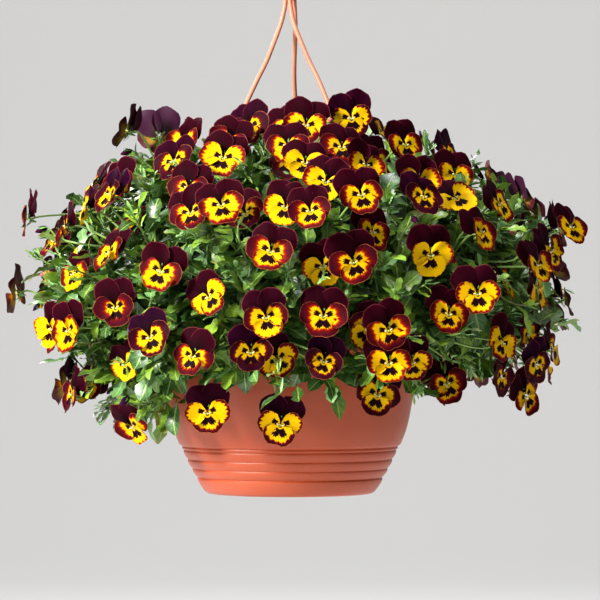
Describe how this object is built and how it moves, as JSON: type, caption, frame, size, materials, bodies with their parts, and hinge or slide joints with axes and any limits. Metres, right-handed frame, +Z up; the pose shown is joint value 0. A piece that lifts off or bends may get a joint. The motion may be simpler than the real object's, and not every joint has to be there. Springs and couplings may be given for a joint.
{
  "type": "hanging basket of pansies",
  "caption": "Hanging basket: a ribbed-foot plastic pot on a three-armed hanger with a hook, filled with a dome of pansy blooms and leaves that spill over the rim.",
  "frame": {"origin": "the seat at the top of the inside of the hanger's hook, from which the basket hangs", "axes": "+Z up along the hook's shank and the pot's axis; -Y is the front"},
  "size_m": [0.5768, 0.5458, 0.581],
  "materials": {
    "terracotta_plastic": "satin",
    "hanger_plastic": "satin",
    "potting_mix": "matte",
    "pansy_greenery": "matte",
    "pansy_petals": "matte"
  },
  "bodies": {
    "root": {"pot": "terracotta_plastic", "soil": "potting_mix", "hanger_hook": "hanger_plastic", "hanger_arm_left": "hanger_plastic", "hanger_arm_right": "hanger_plastic", "hanger_arm_back": "hanger_plastic", "spray_01": "pansy_greenery", "spray_02": "pansy_greenery", "spray_03": "pansy_greenery", "spray_04": "pansy_greenery", "spray_05": "pansy_greenery", "spray_06": "pansy_greenery", "spray_07": "pansy_greenery", "spray_08": "pansy_greenery", "spray_09": "pansy_greenery", "spray_10": "pansy_greenery", "spray_11": "pansy_greenery", "spray_12": "pansy_greenery", "spray_13": "pansy_greenery", "spray_14": "pansy_greenery", "spray_15": "pansy_greenery", "spray_16": "pansy_greenery", "spray_17": "pansy_greenery", "spray_18": "pansy_greenery", "spray_19": "pansy_greenery", "spray_20": "pansy_greenery", "spray_21": "pansy_greenery", "spray_22": "pansy_greenery", "spray_23": "pansy_greenery", "spray_24": "pansy_greenery", "spray_25": "pansy_greenery", "spray_26": "pansy_greenery"}
  },
  "joints": []
}
